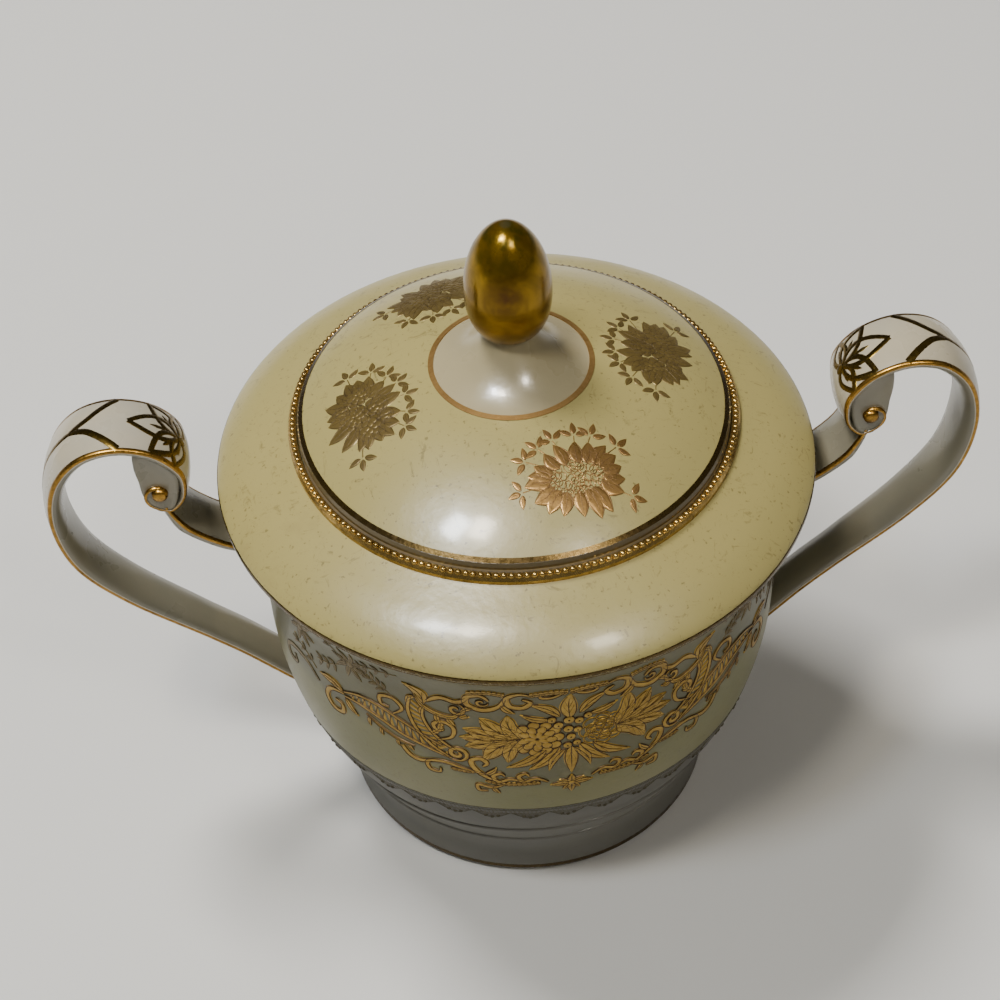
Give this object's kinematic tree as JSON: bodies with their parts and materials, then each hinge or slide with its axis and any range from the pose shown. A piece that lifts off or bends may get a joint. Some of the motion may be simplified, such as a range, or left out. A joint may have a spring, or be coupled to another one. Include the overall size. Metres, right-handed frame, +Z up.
{
  "type": "sugar bowl",
  "caption": "Covered porcelain sugar bowl with a lift-off domed lid, egg finial, beaded mouth ring and scrolled strap handles on a flared foot.",
  "frame": {"origin": "centre of the foot's underside, at table level", "axes": "+Z up through the finial, X from handle to handle, Y across the front"},
  "size_m": [0.18, 0.1144, 0.1418],
  "materials": {
    "bowl_glaze": "glossy cream and grey-white glaze over cast porcelain",
    "cream_glaze": "glossy pale cream glaze over cast porcelain",
    "white_glaze": "glossy white glaze over cast porcelain",
    "gilt": "worn fired gold over glaze",
    "egg_gilt": "polished fired gold over glazed porcelain"
  },
  "bodies": {
    "bowl": {"bowl_body": "bowl_glaze", "handle_left": "white_glaze", "handle_right": "white_glaze", "bead_ring": "gilt", "shoulder_gilt_line": "gilt", "foot_gilt_line": "gilt"},
    "lid": {"lid": "cream_glaze", "lid_gilt_line": "gilt", "finial_gilt_line": "gilt", "finial_stand": "white_glaze", "finial_egg": "egg_gilt"}
  },
  "joints": [
    {"name": "lid_lift", "type": "slide", "parent": "bowl", "child": "lid", "axis": [0, 0, 1], "range_m": [0, 0.06]}
  ]
}
